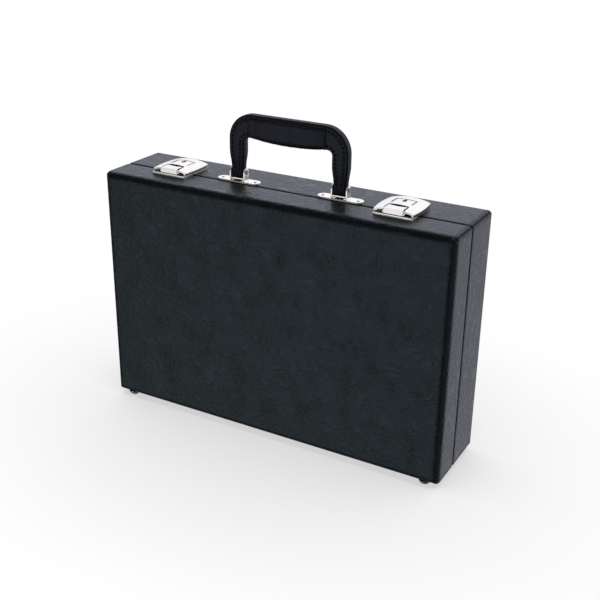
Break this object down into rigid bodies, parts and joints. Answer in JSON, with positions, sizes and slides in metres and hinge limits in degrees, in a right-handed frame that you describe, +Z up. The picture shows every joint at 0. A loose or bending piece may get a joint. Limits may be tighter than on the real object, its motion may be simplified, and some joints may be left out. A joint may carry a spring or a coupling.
{
  "type": "clarinet case",
  "caption": "Hard clarinet case covered in grained black leathercloth: a hinged lid, locking metal latches, an arched padded carrying handle and a fitted plush insert.",
  "frame": {"origin": "on the floor under the middle of the closed case, which stands on its hinge edge", "axes": "+X along the case to the right as seen from the lid, +Y from the lid to the base, +Z up from the hinges to the handle"},
  "size_m": [0.4, 0.095, 0.3406],
  "materials": {
    "leathercloth": "grained, satin",
    "handle_leather": "smooth, satin",
    "nickel": "polished",
    "steel": "plain",
    "brass": "plain",
    "wood": "raw",
    "plush": "short pile",
    "lip": "matt"
  },
  "bodies": {
    "base": {"base_frame": "wood", "base_panel": "wood", "base_covering": "leathercloth", "base_lining": "plush", "locating_lip": "lip", "base_insert": "plush", "base_feet": "nickel", "handle_rivets": "nickel", "hinge_left_base_leaf": "nickel", "hinge_left_pin": "steel", "handle_plate_left": "nickel", "handle_pin_left": "steel", "latch_left_base_plate": "nickel", "latch_left_base_rivets": "nickel", "latch_left_staple": "steel", "hinge_right_base_leaf": "nickel", "hinge_right_pin": "steel", "handle_plate_right": "nickel", "handle_pin_right": "steel", "latch_right_base_plate": "nickel", "latch_right_base_rivets": "nickel", "latch_right_staple": "steel"},
    "lid": {"lid_frame": "wood", "lid_panel": "wood", "lid_covering": "leathercloth", "lid_lining": "plush", "lid_feet": "nickel", "hinge_left_lid_leaf": "nickel", "latch_left_lid_plate": "nickel", "latch_left_lid_rivets": "nickel", "latch_left_bracket": "nickel", "latch_left_pin": "steel", "hinge_right_lid_leaf": "nickel", "latch_right_lid_plate": "nickel", "latch_right_lid_rivets": "nickel", "latch_right_bracket": "nickel", "latch_right_pin": "steel"},
    "latch_left_hasp": {"latch_left_cover": "nickel", "latch_left_lock_plate": "nickel", "latch_left_lock_case": "steel"},
    "latch_left_barrel": {"latch_left_lock_barrel": "brass"},
    "latch_right_hasp": {"latch_right_cover": "nickel", "latch_right_lock_plate": "nickel", "latch_right_lock_case": "steel"},
    "latch_right_barrel": {"latch_right_lock_barrel": "brass"},
    "handle": {"handle_core": "steel", "handle_strap": "handle_leather", "handle_grip": "handle_leather"}
  },
  "joints": [
    {"name": "lid_hinge", "type": "hinge", "parent": "base", "child": "lid", "pos_m": [0, -0.0065, 0.0026], "axis": [1, 0, 0], "range_deg": [0, 105]},
    {"name": "latch_left_cover_hinge", "type": "hinge", "parent": "lid", "child": "latch_left_hasp", "pos_m": [-0.133, -0.02, 0.2733], "axis": [1, 0, 0], "range_deg": [0, 120]},
    {"name": "latch_left_key_turn", "type": "hinge", "parent": "latch_left_hasp", "child": "latch_left_barrel", "pos_m": [-0.133, 0.0057, 0.2725], "axis": [0, 0, 1], "range_deg": [0, 90]},
    {"name": "latch_right_cover_hinge", "type": "hinge", "parent": "lid", "child": "latch_right_hasp", "pos_m": [0.1256, -0.02, 0.2733], "axis": [1, 0, 0], "range_deg": [0, 120]},
    {"name": "latch_right_key_turn", "type": "hinge", "parent": "latch_right_hasp", "child": "latch_right_barrel", "pos_m": [0.1256, 0.0057, 0.2725], "axis": [0, 0, 1], "range_deg": [0, 90]},
    {"name": "handle_swing", "type": "hinge", "parent": "base", "child": "handle", "pos_m": [0, 0.0005, 0.2786], "axis": [1, 0, 0], "range_deg": [-80, 80]}
  ]
}
